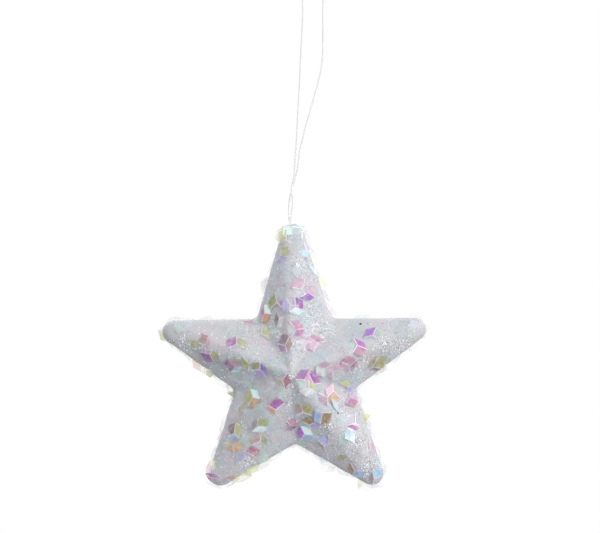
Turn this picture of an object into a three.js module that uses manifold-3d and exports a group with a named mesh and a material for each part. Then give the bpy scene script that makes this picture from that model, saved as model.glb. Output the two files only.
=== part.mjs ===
// Star ornament: a foam star in a skin of glitter, set with iridescent film flakes and hung on a loop of thread.
// Millimetres, +Z up. The origin is where the top of the loop bears on its hook, and the star faces -Y.
import * as THREE from "three";
import { mergeVertices } from "three/addons/utils/BufferGeometryUtils.js";
import Module from "manifold-3d";

const wasm = await Module();
wasm.setup();

// Star, over its glitter coat
const topArmReach = 56; // from the middle to the end of the arm that carries the thread
const sideArmReach = 52.8;
const lowArmReach = 53.8;
const valleyReach = 24.8; // from the middle to the valley between two arms
const lowValleyReach = 28.6; // the valley between the two lower arms is shallower
const tipRadius = 4.4; // rounding of an arm's end, seen from the front
const topTipRadius = 4.2;
const valleyRadius = 3.2; // fillet of a valley, seen from the front
const peakHeight = 19; // the middle of a face, over the star's mid-plane
const rimHeight = 3; // where the flat facets would meet the outline, over the mid-plane
const edgeShare = 0.09; // share of a facet's length that its rounded edge takes
const peakShare = 0.05; // share of a facet's length that the rounded peak takes
const tipSteps = 6;
const valleySteps = 3;
const edgeSteps = 4;

// Coat of glue and glitter on the foam
const coatThickness = 0.6;
const seatGap = 0.35; // between pieces that touch

// Hole in the top tip, with the thread's tails glued in
const holeRadius = 1.8;
const holeDepth = 14;
const plugLength = 12.5;
const tailRadius = 0.5;
const tailLength = 9;
const beadRadius = 0.75; // melted end of the tails
const roundSteps = 20;

// Film flakes
const flakeWidth = 6.6; // across the flats of the hexagon
const flakeThickness = 0.2;
const flakeEmboss = 0.7; // the middle of a flake over its low corners

// Thread
const threadRadius = 0.3;
const threadSides = 8;
const loopSteps = 64;
const leadSteps = 8;
const bightRise = 88.05; // centreline at the top of the loop, over the knot's centre
const bightAside = 9.85; // the same point, to the right of the knot's centre
const junctionRise = 10.7; // where the two strands meet, over the knot's centre
const junctionAside = 0.75;
const junctionGap = 0.6; // free length of thread that lets the pair twist there
const strandOffset = 0.52; // from the pair's middle to each strand

// Knot
const knotAside = -0.75; // from the star's middle line
const knotHalfHeight = 1.1;
const knotCoreRadius = 0.5;
const wrapRadius = 0.45; // centreline of each turn of the knot
const wrapRise = 0.34; // each turn's centre, over and under the knot's centre
const wrapTiltShare = 0.07; // of a full turn
const knotClearance = 0.35;
const knotSteps = 10;
const wrapSteps = 12;
const wrapSides = 6;

// Arms are counted from the top one, anticlockwise seen from the front
const armReaches = [topArmReach, sideArmReach, lowArmReach, lowArmReach, sideArmReach];
const armCount = armReaches.length;
const topArm = 0;
const valleyAfterLowArm = 2;
const overrun = 2; // how far cutting tools run past what they cut
const fullTurn = 2 * Math.PI;

const foamLook = { color: 0xf4f4f2, roughness: 0.9, metalness: 0 };
const coatLook = { color: 0xd9dce2, roughness: 0.45, metalness: 0.1 };
const glueLook = { color: 0xe6e2d6, roughness: 0.4, metalness: 0 };
const threadLook = { color: 0xf2f2f0, roughness: 0.8, metalness: 0 };
const filmLooks = [
  { color: 0xcf7cc4, roughness: 0.15, metalness: 0.3 },
  { color: 0xc9f0e4, roughness: 0.15, metalness: 0.3 },
  { color: 0xc9c98a, roughness: 0.15, metalness: 0.3 },
];

function piece(name, geometry, look) {
  const mesh = new THREE.Mesh(geometry, new THREE.MeshStandardMaterial(look));
  mesh.name = name;
  return mesh;
}

// Solids that can be joined and cut

function toSolid(geometry) {
  const bare = geometry.clone();
  bare.deleteAttribute("normal");
  bare.deleteAttribute("uv");
  const merged = mergeVertices(bare);
  return new wasm.Manifold(
    new wasm.Mesh({
      numProp: 3,
      vertProperties: new Float32Array(merged.attributes.position.array),
      triVerts: new Uint32Array(merged.index.array),
    }),
  );
}

function toGeometry(solid) {
  const mesh = solid.getMesh();
  const geometry = new THREE.BufferGeometry();
  geometry.setAttribute("position", new THREE.BufferAttribute(mesh.vertProperties, 3));
  geometry.setIndex(new THREE.BufferAttribute(mesh.triVerts, 1));
  return geometry;
}

// Outline of the star in its own plane, with the top arm along +Y

function along(angle, reach) {
  return new THREE.Vector2(Math.cos(angle), Math.sin(angle)).multiplyScalar(reach);
}

function armAngle(arm) {
  return fullTurn / 4 + (arm * fullTurn) / armCount;
}

// An inset shrinks the outline evenly: arcs keep their centres, and straight edges stay parallel.
function tipCircle(arm, inset) {
  const radius = arm % armCount === topArm ? topTipRadius : tipRadius;
  const reach = armReaches[arm % armCount];
  return { centre: along(armAngle(arm), reach - radius), radius: radius - inset };
}

function valleyCircle(arm, inset) {
  const isLow = arm % armCount === valleyAfterLowArm;
  const reach = isLow ? lowValleyReach : valleyReach;
  const angle = armAngle(arm + 0.5);
  return { centre: along(angle, reach + valleyRadius), radius: valleyRadius + inset };
}

// The straight edge that touches an arm's end and a valley. Side 1 is the arm's left side, -1 its right side.
function straightEdge(arm, side, inset) {
  const tip = tipCircle(arm, inset);
  const valley = valleyCircle(side > 0 ? arm : arm - 1, inset);
  const run = valley.centre.clone().sub(tip.centre);
  const lean = Math.acos((tip.radius + valley.radius) / run.length());
  const outward = run.angle() - side * lean;
  return {
    outward,
    atTip: tip.centre.clone().add(along(outward, tip.radius)),
    atValley: valley.centre.clone().sub(along(outward, valley.radius)),
  };
}

function arcPoints(circle, from, to, steps) {
  const turn = Math.atan2(Math.sin(to - from), Math.cos(to - from));
  const points = [];
  for (let i = 0; i <= steps; i++) {
    const angle = from + (turn * i) / steps;
    points.push(circle.centre.clone().add(along(angle, circle.radius)));
  }
  return points;
}

function starOutline(inset) {
  const points = [];
  for (let arm = 0; arm < armCount; arm++) {
    const right = straightEdge(arm, -1, inset).outward;
    const left = straightEdge(arm, 1, inset).outward;
    const next = straightEdge(arm + 1, -1, inset).outward;
    const half = fullTurn / 2;
    points.push(...arcPoints(tipCircle(arm, inset), right, left, tipSteps));
    points.push(...arcPoints(valleyCircle(arm, inset), left + half, next + half, valleySteps));
  }
  return points;
}

// Heights of a face over the mid-plane. An inset moves the facets inwards by that much, square to their surface.
function faceHeights(inset) {
  const edge = straightEdge(1, 1, 0);
  const edgeDistance = Math.abs(edge.atTip.dot(along(edge.outward, 1)));
  const slope = (peakHeight - rimHeight) / edgeDistance;
  const peakInset = inset * Math.hypot(1, slope);
  const rimInset = peakInset - inset * slope;
  return { peak: peakHeight - peakInset, rim: rimHeight - rimInset };
}

// Each ring is the outline drawn towards the middle. The facets end in an edge rounded to a quarter ellipse.
function faceRings(inset) {
  const { peak, rim } = faceHeights(inset);
  const fall = peak - rim;
  const edgeHeight = Math.sqrt(rim * rim + 2 * rim * fall * edgeShare);
  const start = Math.atan((fall * edgeShare) / edgeHeight);
  const rings = [{ share: peakShare, height: peak - fall * peakShare }];
  for (let i = 0; i < edgeSteps; i++) {
    const angle = THREE.MathUtils.lerp(start, fullTurn / 4, i / edgeSteps);
    const share = 1 - edgeShare + edgeShare * Math.sin(angle);
    rings.push({ share, height: edgeHeight * Math.cos(angle) });
  }
  return { rings, top: peak - (fall * peakShare) / 2 };
}

// Whole star body: front face, rounded edge and back face in one closed surface
function starBody(inset) {
  const outline = starOutline(inset);
  const { rings, top } = faceRings(inset);
  const back = rings.map(({ share, height }) => ({ share, height: -height })).reverse();
  const all = [...rings, { share: 1, height: 0 }, ...back];
  const positions = [0, 0, top];
  for (const { share, height } of all)
    for (const point of outline) positions.push(point.x * share, point.y * share, height);
  positions.push(0, 0, -top);

  const count = outline.length;
  const last = all.length * count + 1;
  const at = (ring, i) => 1 + ring * count + (i % count);
  const faces = [];
  for (let i = 0; i < count; i++) {
    faces.push(0, at(0, i), at(0, i + 1));
    for (let ring = 0; ring + 1 < all.length; ring++) {
      faces.push(at(ring, i), at(ring + 1, i), at(ring + 1, i + 1));
      faces.push(at(ring, i), at(ring + 1, i + 1), at(ring, i + 1));
    }
    faces.push(last, at(all.length - 1, i + 1), at(all.length - 1, i));
  }
  const geometry = new THREE.BufferGeometry();
  geometry.setAttribute("position", new THREE.Float32BufferAttribute(positions, 3));
  geometry.setIndex(faces);
  return toSolid(geometry);
}

// Bored hole, glue plug and tails all lie on the thread's line through the top tip
const tipTop = topArmReach;

function hole() {
  const length = holeDepth + overrun;
  const drill = new THREE.CylinderGeometry(holeRadius, holeRadius, length, roundSteps);
  drill.translate(knotAside, tipTop + overrun - length / 2, 0);
  return toSolid(drill);
}

function foamCore() {
  const body = starBody(coatThickness + seatGap);
  return piece("foam_core", toGeometry(body.subtract(hole())), foamLook);
}

function glitterCoat() {
  const outside = wasm.Manifold.union([starBody(0), ...pressedFlakes()]);
  const shell = outside.subtract(starBody(coatThickness));
  return piece("glitter_coat", toGeometry(shell.subtract(hole())), coatLook);
}

// A profile turned about the thread's line, from points of radius and depth below the tip
function turned(name, points, look) {
  const profile = points.map(([radius, depth]) => new THREE.Vector2(radius, -depth));
  const mesh = piece(name, new THREE.LatheGeometry(profile, roundSteps), look);
  mesh.position.set(knotAside, tipTop, 0);
  return mesh;
}

function gluePlug() {
  const outer = holeRadius - seatGap;
  const top = holeDepth - seatGap - plugLength;
  const bore = tailRadius + seatGap;
  const bulb = beadRadius + seatGap;
  const bottom = top + plugLength;
  return turned(
    "glue_plug",
    [
      [0, bottom],
      [outer, bottom],
      [outer, top],
      [bore, top],
      [bore, tailLength - beadRadius - seatGap],
      [bulb, tailLength - seatGap],
      [bulb, tailLength + beadRadius],
      [0, tailLength + beadRadius + seatGap],
    ],
    glueLook,
  );
}

function threadTails() {
  return turned(
    "thread_tails",
    [
      [0, tailLength + beadRadius],
      [beadRadius, tailLength + beadRadius / 2],
      [beadRadius, tailLength],
      [tailRadius, tailLength - beadRadius],
      [tailRadius, 0],
      [0, 0],
    ],
    threadLook,
  );
}

// Film flake: a hexagon pressed into three flat rhombs that meet in its raised middle like the corner of a cube. Its
// underside has its own height and its own emboss.
function flakeGeometry(underside, undersideEmboss) {
  const sides = 6;
  const flakeRadius = flakeWidth / Math.sqrt(3);
  const layer = (lift, emboss) => {
    const points = [0, 0, lift + emboss];
    for (let i = 0; i < sides; i++) {
      const corner = along((i * fullTurn) / sides, flakeRadius);
      const rise = i % 2 === 0 ? emboss / 2 : 0;
      points.push(corner.x, corner.y, lift + rise);
    }
    return points;
  };
  const over = (i) => 1 + (i % sides);
  const under = (i) => sides + 2 + (i % sides);
  const faces = [];
  for (let i = 0; i < sides; i++) {
    faces.push(0, over(i), over(i + 1));
    faces.push(sides + 1, under(i + 1), under(i));
    faces.push(over(i), under(i), under(i + 1));
    faces.push(over(i), under(i + 1), over(i + 1));
  }
  const geometry = new THREE.BufferGeometry();
  const positions = [...layer(flakeThickness, flakeEmboss), ...layer(underside, undersideEmboss)];
  geometry.setAttribute("position", new THREE.Float32BufferAttribute(positions, 3));
  geometry.setIndex(faces);
  return geometry;
}

// Where the flakes lie on a face: the arm, the side of its ridge, the share of the way out from the middle, the share
// of the way across from the ridge to the valley, and the share of a full turn that the flake is turned by
const rearTurnShare = 0.11; // rear flakes are turned a little more
const flakePlaceShares = [
  [0, 1, 0.83, -0.02, 0.01],
  [0, -1, 0.73, 0.38, 0.03],
  [0, 1, 0.71, 0.56, 0.32],
  [0, -1, 0.46, -0.04, 0.04],
  [0, 1, 0.27, 0.36, 0.21],
  [0, -1, 0.36, 0.68, 0.2],
  [1, -1, 0.55, 0.25, 0.16],
  [1, 1, 0.69, 0.12, 0.33],
  [1, 1, 0.54, 0.3, 0.19],
  [1, 1, 0.31, 0.4, 0.06],
  [2, -1, 0.58, 0.74, 0.03],
  [2, -1, 0.73, 0.28, 0.28],
  [2, 1, 0.32, 0.37, 0.08],
  [2, 1, 0.44, -0.02, 0.27],
  [2, 1, 0.66, 0.24, 0.21],
  [3, -1, 0.4, 0.64, 0.11],
  [3, -1, 0.75, 0.18, 0.17],
  [3, -1, 0.84, -0.06, 0.17],
  [3, 1, 0.59, 0.82, 0.03],
  [3, 1, 0.68, 0.12, 0.19],
  [3, 1, 0.87, 0.12, 0.02],
  [4, -1, 0.3, 0.34, 0.07],
  [4, -1, 0.51, 0.29, 0.07],
  [4, -1, 0.85, 0.44, 0.21],
  [4, 1, 0.69, 0.05, 0.13],
];

// Places of the flakes that are pressed into the glue between the others
const pressedPlaceShares = [
  [0, 1, 0.47, 0.42, 0.05],
  [0, 1, 0.77, 0.28, 0.2],
  [0, -1, 0.68, 0.81, 0.12],
  [0, -1, 0.93, 0.1, 0.04],
  [1, 1, 0.87, 0.74, 0.23],
  [1, 1, 0.86, 0, 0.3],
  [1, -1, 0.52, 0.71, 0.1],
  [1, -1, 0.85, 0.86, 0.31],
  [2, 1, 0.6, 0.8, 0],
  [2, 1, 0.72, -0.04, 0.22],
  [2, 1, 0.89, 0.76, 0.15],
  [2, 1, 0.92, 0.13, 0.05],
  [2, 1, 0.95, 0.54, 0.02],
  [2, -1, 0.82, 0.76, 0.31],
  [3, 1, 0.29, 0.56, 0.26],
  [3, 1, 0.87, 0.86, 0.06],
  [3, -1, 0.46, 0, 0.24],
  [3, -1, 0.77, 0.82, 0.18],
  [3, -1, 0.95, 0.67, 0.09],
  [4, 1, 0.48, 0.71, 0.28],
  [4, -1, 0.84, 0.85, 0.11],
  [4, 1, 0.87, 0, 0.07],
];

// A place on the front face, at a height over its facet
function placeMatrix(place, height) {
  const [arm, side, outShare, acrossShare, turnShare] = place;
  const edge = straightEdge(arm, side, 0);
  const { peak, rim } = faceHeights(0);
  const apex = new THREE.Vector3(0, 0, peak);
  const foot = edge.atTip.clone().lerp(edge.atValley, acrossShare);
  const seat = apex.clone().lerp(new THREE.Vector3(foot.x, foot.y, rim), outShare);
  const toTip = new THREE.Vector3(edge.atTip.x, edge.atTip.y, rim).sub(apex);
  const toValley = new THREE.Vector3(edge.atValley.x, edge.atValley.y, rim).sub(apex);
  const normal = toTip.clone().cross(toValley).multiplyScalar(side).normalize();
  const across = normal.clone().cross(toTip).normalize();
  const forward = across.clone().cross(normal);
  const matrix = new THREE.Matrix4().makeBasis(forward, across, normal);
  matrix.multiply(new THREE.Matrix4().makeRotationZ(turnShare * fullTurn));
  return matrix.setPosition(seat.addScaledVector(normal, height));
}

function turnedMore(place, turnShareMore) {
  return [...place.slice(0, 4), place[4] + turnShareMore];
}

function flakes(faceName, turnShareMore) {
  const group = new THREE.Group();
  flakePlaceShares.forEach((place, i) => {
    const name = faceName + "_flake_" + String(i + 1).padStart(2, "0");
    const mesh = piece(name, flakeGeometry(0, flakeEmboss), filmLooks[i % filmLooks.length]);
    mesh.applyMatrix4(placeMatrix(turnedMore(place, turnShareMore), seatGap));
    group.add(mesh);
  });
  return group;
}

// A pressed flake is one piece with the coat, and lies only where the flakes on top leave it room
function pressedFlakes() {
  const room = (2 * flakeWidth) / Math.sqrt(3) + seatGap;
  const middleOf = (place) => new THREE.Vector3().setFromMatrixPosition(placeMatrix(place, 0));
  const taken = flakePlaceShares.map(middleOf);
  const places = pressedPlaceShares.filter((place) => {
    const middle = middleOf(place);
    return taken.every((other) => other.distanceTo(middle) > room);
  });
  const pressed = (place) => flakeGeometry(-coatThickness / 2, 0).applyMatrix4(placeMatrix(place, 0));
  const front = places.map(pressed);
  const rear = places.map((place) => pressed(turnedMore(place, rearTurnShare)).rotateY(fullTurn / 2));
  return [...front, ...rear].map(toSolid);
}

// The star lies in its own plane while it is made, and stands up with its front to -Y
function star() {
  const group = new THREE.Group();
  const rear = flakes("rear", rearTurnShare);
  rear.rotation.y = fullTurn / 2;
  group.add(foamCore(), glitterCoat(), gluePlug(), threadTails(), flakes("front", 0), rear);
  group.rotation.x = fullTurn / 4;
  group.position.set(-knotAside, 0, -knotHalfHeight - knotClearance - tipTop);
  return group;
}

// Thread, with every place counted from the knot's centre

const leadTop = junctionRise - junctionGap / 2;
const loopEnd = junctionRise + junctionGap / 2;
const leadEnd = knotHalfHeight + knotClearance;

const loopRoute = [
  [junctionAside, -strandOffset, loopEnd],
  [1.0, -0.5, 12.8],
  [1.6, -0.45, 15.3],
  [2.15, -0.35, 21.3],
  [2.95, -0.15, 30.4],
  [3.75, 0, 42.5],
  [4.4, 0, 51.6],
  [5.15, 0, 63.8],
  [5.85, 0, 74.4],
  [6.1, 0, 80.5],
  [6.1, 0, 84.3],
  [7.2, 0, 86.95],
  [bightAside, 0, bightRise],
  [12.5, 0, 86.95],
  [13.6, 0, 84.3],
  [13.6, 0, 78],
  [13.5, 0, 68],
  [13.2, 0, 60.7],
  [12.4, 0, 55.4],
  [10.2, 0, 47.3],
  [7.6, 0, 38.8],
  [5.5, 0, 31.5],
  [4.1, 0.25, 25.9],
  [3.0, 0.4, 18.8],
  [1.55, 0.5, 13.2],
  [junctionAside, strandOffset, loopEnd],
];

// The two strands cross at the junction, lie side by side below it and close up at the knot
function leadRoute(side) {
  return [
    [junctionAside, side * strandOffset, leadTop],
    [0.55 + side * 0.3, side * 0.45, 8.8],
    [0.4 + side * 0.62, side * 0.15, 6.6],
    [0.25 + side * 0.66, 0, 4.6],
    [0.08 + side * 0.55, 0, 2.9],
    [side * strandOffset, 0, leadEnd],
  ];
}

function routeCurve(route) {
  return new THREE.CatmullRomCurve3(route.map((point) => new THREE.Vector3(...point)));
}

function threadTube(name, route, steps) {
  const section = [];
  for (let i = 0; i < threadSides; i++) section.push(along((i * fullTurn) / threadSides, threadRadius));
  const extrudePath = routeCurve(route);
  return piece(name, new THREE.ExtrudeGeometry(new THREE.Shape(section), { steps, extrudePath }), threadLook);
}

function tipKnot() {
  const core = new THREE.SphereGeometry(knotCoreRadius, knotSteps, knotSteps);
  core.rotateX(fullTurn / 4);
  core.scale(1, 1, knotHalfHeight / knotCoreRadius);
  let knot = toSolid(core);
  for (const side of [-1, 1]) {
    const wrap = new THREE.TorusGeometry(wrapRadius, threadRadius, wrapSides, wrapSteps);
    wrap.rotateY(side * wrapTiltShare * fullTurn);
    wrap.translate(0, 0, side * wrapRise);
    knot = knot.add(toSolid(wrap));
  }
  return piece("tip_knot", toGeometry(knot), threadLook);
}

const ornament = new THREE.Group();
ornament.position.set(-bightAside, 0, threadRadius - bightRise);
ornament.add(
  threadTube("hanging_loop", loopRoute, loopSteps),
  threadTube("thread_lead_left", leadRoute(-1), leadSteps),
  threadTube("thread_lead_right", leadRoute(1), leadSteps),
  tipKnot(),
  star(),
);

// The least gap between the loop's two strands, away from the bight that joins them
function leastGap() {
  const points = routeCurve(loopRoute).getSpacedPoints(loopSteps * threadSides);
  const third = Math.round(points.length / 3);
  let least = Infinity;
  for (const left of points.slice(0, third))
    for (const right of points.slice(-third)) least = Math.min(least, left.distanceTo(right));
  return least - 2 * threadRadius;
}
console.log("least gap between the strands, mm: " + leastGap().toFixed(2));

export default ornament;
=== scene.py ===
import math
import random

import bmesh
import bpy
import numpy as np
from mathutils import Matrix, Vector, noise
from mathutils.bvhtree import BVHTree


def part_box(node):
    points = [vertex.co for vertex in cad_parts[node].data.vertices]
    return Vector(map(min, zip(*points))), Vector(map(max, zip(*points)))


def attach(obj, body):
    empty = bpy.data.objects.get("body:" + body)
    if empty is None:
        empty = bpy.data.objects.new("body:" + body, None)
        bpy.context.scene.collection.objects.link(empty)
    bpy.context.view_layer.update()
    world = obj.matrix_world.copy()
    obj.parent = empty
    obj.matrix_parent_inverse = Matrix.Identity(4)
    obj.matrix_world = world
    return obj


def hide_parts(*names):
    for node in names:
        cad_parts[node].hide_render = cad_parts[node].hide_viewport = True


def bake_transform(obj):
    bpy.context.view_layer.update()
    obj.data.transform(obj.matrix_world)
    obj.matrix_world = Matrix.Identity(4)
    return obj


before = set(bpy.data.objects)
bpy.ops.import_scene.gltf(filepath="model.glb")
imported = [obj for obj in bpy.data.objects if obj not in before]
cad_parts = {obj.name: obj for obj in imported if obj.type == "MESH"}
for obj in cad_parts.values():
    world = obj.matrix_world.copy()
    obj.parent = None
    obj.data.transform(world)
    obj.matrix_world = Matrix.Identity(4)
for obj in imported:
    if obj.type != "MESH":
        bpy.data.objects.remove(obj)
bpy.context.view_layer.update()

MM = 0.001

# Camera and framing
# A long lens a little above the star and to its right, as in the photograph. The star hangs turned by less
# than a degree in the picture, so the camera is rolled by that much.
VIEW_AZIMUTH = math.radians(4.5)
VIEW_ELEVATION = math.radians(5)
VIEW_ROLL = math.radians(0.9)
CAMERA_DISTANCE = 0.9
PHOTO_WIDTH = 600
PHOTO_HEIGHT = 533
PIXELS_PER_METRE = 2625  # in the photograph, at the star
STAR_PIXEL_X = 294.5  # of the star's middle
STAR_PIXEL_Y = 370.3
TOP_ARM_REACH = 56 * MM  # from the star's middle to its top tip

coat_low, coat_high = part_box("glitter_coat")
star_middle = Vector(((coat_low.x + coat_high.x) / 2, 0, coat_high.z - TOP_ARM_REACH))


def view_axes(azimuth, elevation, roll):
    """Right, up and back of a camera that looks at the star from there."""
    side, rise = math.sin(azimuth), math.sin(elevation)
    back = Vector((side * math.cos(elevation), -math.cos(azimuth) * math.cos(elevation), rise))
    right = Vector((math.cos(azimuth), side, 0))
    up = back.cross(right)
    return right * math.cos(roll) - up * math.sin(roll), up * math.cos(roll) + right * math.sin(roll), back


view_right, view_up, view_back = view_axes(VIEW_AZIMUTH, VIEW_ELEVATION, VIEW_ROLL)
camera = bpy.data.objects.new("camera", bpy.data.cameras.new("camera"))
bpy.context.collection.objects.link(camera)
bpy.context.scene.camera = camera
camera.data.lens = camera.data.sensor_width * CAMERA_DISTANCE * PIXELS_PER_METRE / PHOTO_WIDTH
camera.location = star_middle + view_back * CAMERA_DISTANCE
aim_right = (PHOTO_WIDTH / 2 - STAR_PIXEL_X) / PIXELS_PER_METRE
aim_up = (STAR_PIXEL_Y - PHOTO_HEIGHT / 2) / PIXELS_PER_METRE
forward = (star_middle + view_right * aim_right + view_up * aim_up - camera.location).normalized()
camera_right = forward.cross(view_up).normalized()
camera_up = camera_right.cross(forward)
camera.rotation_euler = Matrix((camera_right, camera_up, -forward)).transposed().to_euler()

# Hanging thread
# One length of white sewing thread, three plies of polyester twisted together. It leaves the knot at the
# star's tip, makes an open loop and comes back to the knot. Its two strands cross once just above the star.
THREAD_RADIUS = 0.3 * MM
LOBE_DEPTH_SHARE = 0.2
PLIES = 3
PLY_PITCH = 2.4 * MM
RING_STEP = 0.2 * MM
RING_POINTS = 12
BIGHT_ASIDE = 9.85 * MM  # from the knot to the top of the bight
BIGHT_RISE = 88.05 * MM

knot_middle = Vector((-BIGHT_ASIDE, 0, THREAD_RADIUS - BIGHT_RISE))

# Both strands' points are in millimetres from the knot, up the left one and down the right one.
LEFT_STRAND = [
    (-0.52, 0, 1.45), (-0.47, 0, 2.9), (-0.41, 0, 4.6), (-0.22, -0.15, 6.6), (0.25, -0.45, 8.8),
    (0.75, -0.52, 10.4), (0.75, -0.52, 11.0), (1.0, -0.5, 12.8), (1.6, -0.45, 15.3), (2.15, -0.35, 21.3),
    (2.95, -0.15, 30.4), (3.75, 0, 42.5), (4.4, 0, 51.6), (5.15, 0, 63.8), (5.85, 0, 74.4), (6.1, 0, 80.5),
    (6.1, 0, 84.3), (7.2, 0, 86.95), (9.85, 0, 88.05),
]
RIGHT_STRAND = [
    (12.5, 0, 86.95), (13.6, 0, 84.3), (13.6, 0, 78), (13.5, 0, 68), (13.2, 0, 60.7), (12.4, 0, 55.4),
    (10.2, 0, 47.3), (7.6, 0, 38.8), (5.5, 0, 31.5), (4.1, 0.25, 25.9), (3.0, 0.4, 18.8), (1.55, 0.5, 13.2),
    (0.75, 0.52, 11.0), (0.75, 0.52, 10.4), (0.85, 0.45, 8.8), (1.02, 0.15, 6.6), (0.91, 0, 4.6),
    (0.63, 0, 2.9), (0.52, 0, 1.45),
]
thread_route = [knot_middle + Vector(point) * MM for point in LEFT_STRAND + RIGHT_STRAND]


def linear(sheet_hex):
    """A colour written as sRGB hex, as the linear colour that a node takes."""
    channels = [int(sheet_hex[i : i + 2], 16) / 255 for i in (1, 3, 5)]
    return [c / 12.92 if c <= 0.04045 else ((c + 0.055) / 1.055) ** 2.4 for c in channels] + [1]


def new_material(name):
    """A material whose nodes are still to come."""
    material = bpy.data.materials.new(name)
    material.use_nodes = True
    material.node_tree.nodes.remove(material.node_tree.nodes["Principled BSDF"])
    return material


def add_node(material, kind, settings=None, inputs=None, steps=()):
    """A node with its settings, its inputs (values or other nodes' outputs) and a ramp's colour steps."""
    made = material.node_tree.nodes.new(kind)
    for key, value in (settings or {}).items():
        setattr(made, key, value)
    for key, value in (inputs or {}).items():
        if isinstance(value, bpy.types.NodeSocket):
            material.node_tree.links.new(value, made.inputs[key])
        else:
            made.inputs[key].default_value = value
    if steps:
        while len(made.color_ramp.elements) < len(steps):
            made.color_ramp.elements.new(1)
        for element, (position, sheet_hex) in zip(made.color_ramp.elements, steps):
            element.position = position
            element.color = linear(sheet_hex)
    return made


def finish_material(material, shader):
    """Puts the last shader on the surface."""
    output = material.node_tree.nodes["Material Output"]
    material.node_tree.links.new(shader, output.inputs["Surface"])
    return material


def new_piece(name, mesh, material, smooth=True):
    """An object for a mesh, in one material."""
    piece = bpy.data.objects.new(name, mesh)
    bpy.context.collection.objects.link(piece)
    mesh.materials.clear()
    mesh.materials.append(material)
    mesh.polygons.foreach_set("use_smooth", [smooth] * len(mesh.polygons))
    return piece


def mesh_from(bm, name):
    """A mesh made from a bmesh, which is freed."""
    mesh = bpy.data.meshes.new(name)
    bm.to_mesh(mesh)
    bm.free()
    return mesh


def smooth_route(points, step):
    """Points a step apart on the smooth curve through the given points."""
    curve = bpy.data.curves.new("route", "CURVE")
    curve.dimensions = "3D"
    curve.resolution_u = 24
    spline = curve.splines.new("BEZIER")
    spline.bezier_points.add(len(points) - 1)
    for bezier, point in zip(spline.bezier_points, points):
        bezier.co = point
        bezier.handle_left_type = bezier.handle_right_type = "AUTO"
    holder = bpy.data.objects.new("route", curve)
    line = np.array([vertex.co for vertex in holder.to_mesh().vertices])
    holder.to_mesh_clear()
    bpy.data.objects.remove(holder)
    travelled = np.concatenate([[0], np.cumsum(np.linalg.norm(np.diff(line, axis=0), axis=1))])
    count = max(2, round(travelled[-1] / step) + 1)
    places = np.linspace(0, travelled[-1], count)
    return [Vector([np.interp(place, travelled, line[:, axis]) for axis in range(3)]) for place in places]


def sweep_yarn(bm, route, radius):
    """Sweeps a section with one lobe for each ply along a route, turning once in each ply pitch."""
    section = []
    for i in range(RING_POINTS):
        angle = math.tau * i / RING_POINTS
        reach = radius * (1 - LOBE_DEPTH_SHARE * (0.5 - 0.5 * math.cos(PLIES * angle)))
        section.append(Vector((math.cos(angle), math.sin(angle), 0)) * reach)
    turn = 0
    heading = (route[1] - route[0]).normalized()
    frame_turn = heading.to_track_quat("Z", "Y")
    rings = []
    for i, point in enumerate(route):
        new_heading = (route[min(i + 1, len(route) - 1)] - route[max(i - 1, 0)]).normalized()
        frame_turn = heading.rotation_difference(new_heading) @ frame_turn
        heading = new_heading
        if i:
            turn += math.tau * (point - route[i - 1]).length / PLY_PITCH
        place = Matrix.Translation(point) @ frame_turn.to_matrix().to_4x4() @ Matrix.Rotation(turn, 4, "Z")
        rings.append([bm.verts.new(place @ corner) for corner in section])
    for near, far in zip(rings, rings[1:]):
        for i in range(RING_POINTS):
            bm.faces.new((near[i - 1], near[i], far[i], far[i - 1]))
    bm.faces.new(rings[0][::-1])
    bm.faces.new(rings[-1])


def thread_material():
    """Spun polyester sewing thread: white and matt, with a soft sheen, fibres that blur its outline and a
    painted glow.
    """
    fibre_width = 0.05 * MM  # real fibres are 0.015 mm, drawn coarser so that they show
    material = new_material("spun polyester thread")
    place = add_node(material, "ShaderNodeTexCoord").outputs["Object"]
    fibres = add_node(
        material, "ShaderNodeTexNoise", inputs={"Vector": place, "Scale": 1 / fibre_width, "Detail": 2}
    ).outputs["Fac"]
    colour = add_node(
        material, "ShaderNodeValToRGB", inputs={"Fac": fibres}, steps=[(0.25, "#ECECEA"), (0.75, "#FFFFFF")]
    ).outputs["Color"]
    bump = add_node(
        material, "ShaderNodeBump", inputs={"Height": fibres, "Distance": fibre_width, "Strength": 0.4}
    )
    shader = add_node(
        material,
        "ShaderNodeBsdfPrincipled",
        inputs={
            "Base Color": colour,
            "Roughness": 0.75,
            "Sheen Weight": 0.3,
            "Sheen Roughness": 0.4,
            "Normal": bump.outputs["Normal"],
            # Painted glow: the thread gives off a little light in its own colour, so it looks as bright as a
            # thread blown out by the studio light.
            "Emission Color": colour,
            "Emission Strength": 0.16,
        },
    )
    return finish_material(material, shader.outputs["BSDF"])


thread_look = thread_material()
thread_path = smooth_route(thread_route, RING_STEP)
bm = bmesh.new()
sweep_yarn(bm, thread_path, THREAD_RADIUS)
thread = new_piece("hanging_thread", mesh_from(bm, "hanging_thread"), thread_look)

# Knot at the tip
# The two ends of the thread are tied together right above the star. One strand goes straight down, and the
# other is wound round it twice and pulled tight, so the knot is a small barrel a little over 2 mm long.
WRAP_TURNS = 2.25
WRAP_RADIUS = 0.5 * MM
WRAP_RISE = 0.62 * MM
KNOT_END = 1.3 * MM
STRAND_ASIDE = 0.4 * MM
WRAP_POINTS = 28
PULLED_RADIUS = THREAD_RADIUS * 0.8

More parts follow.
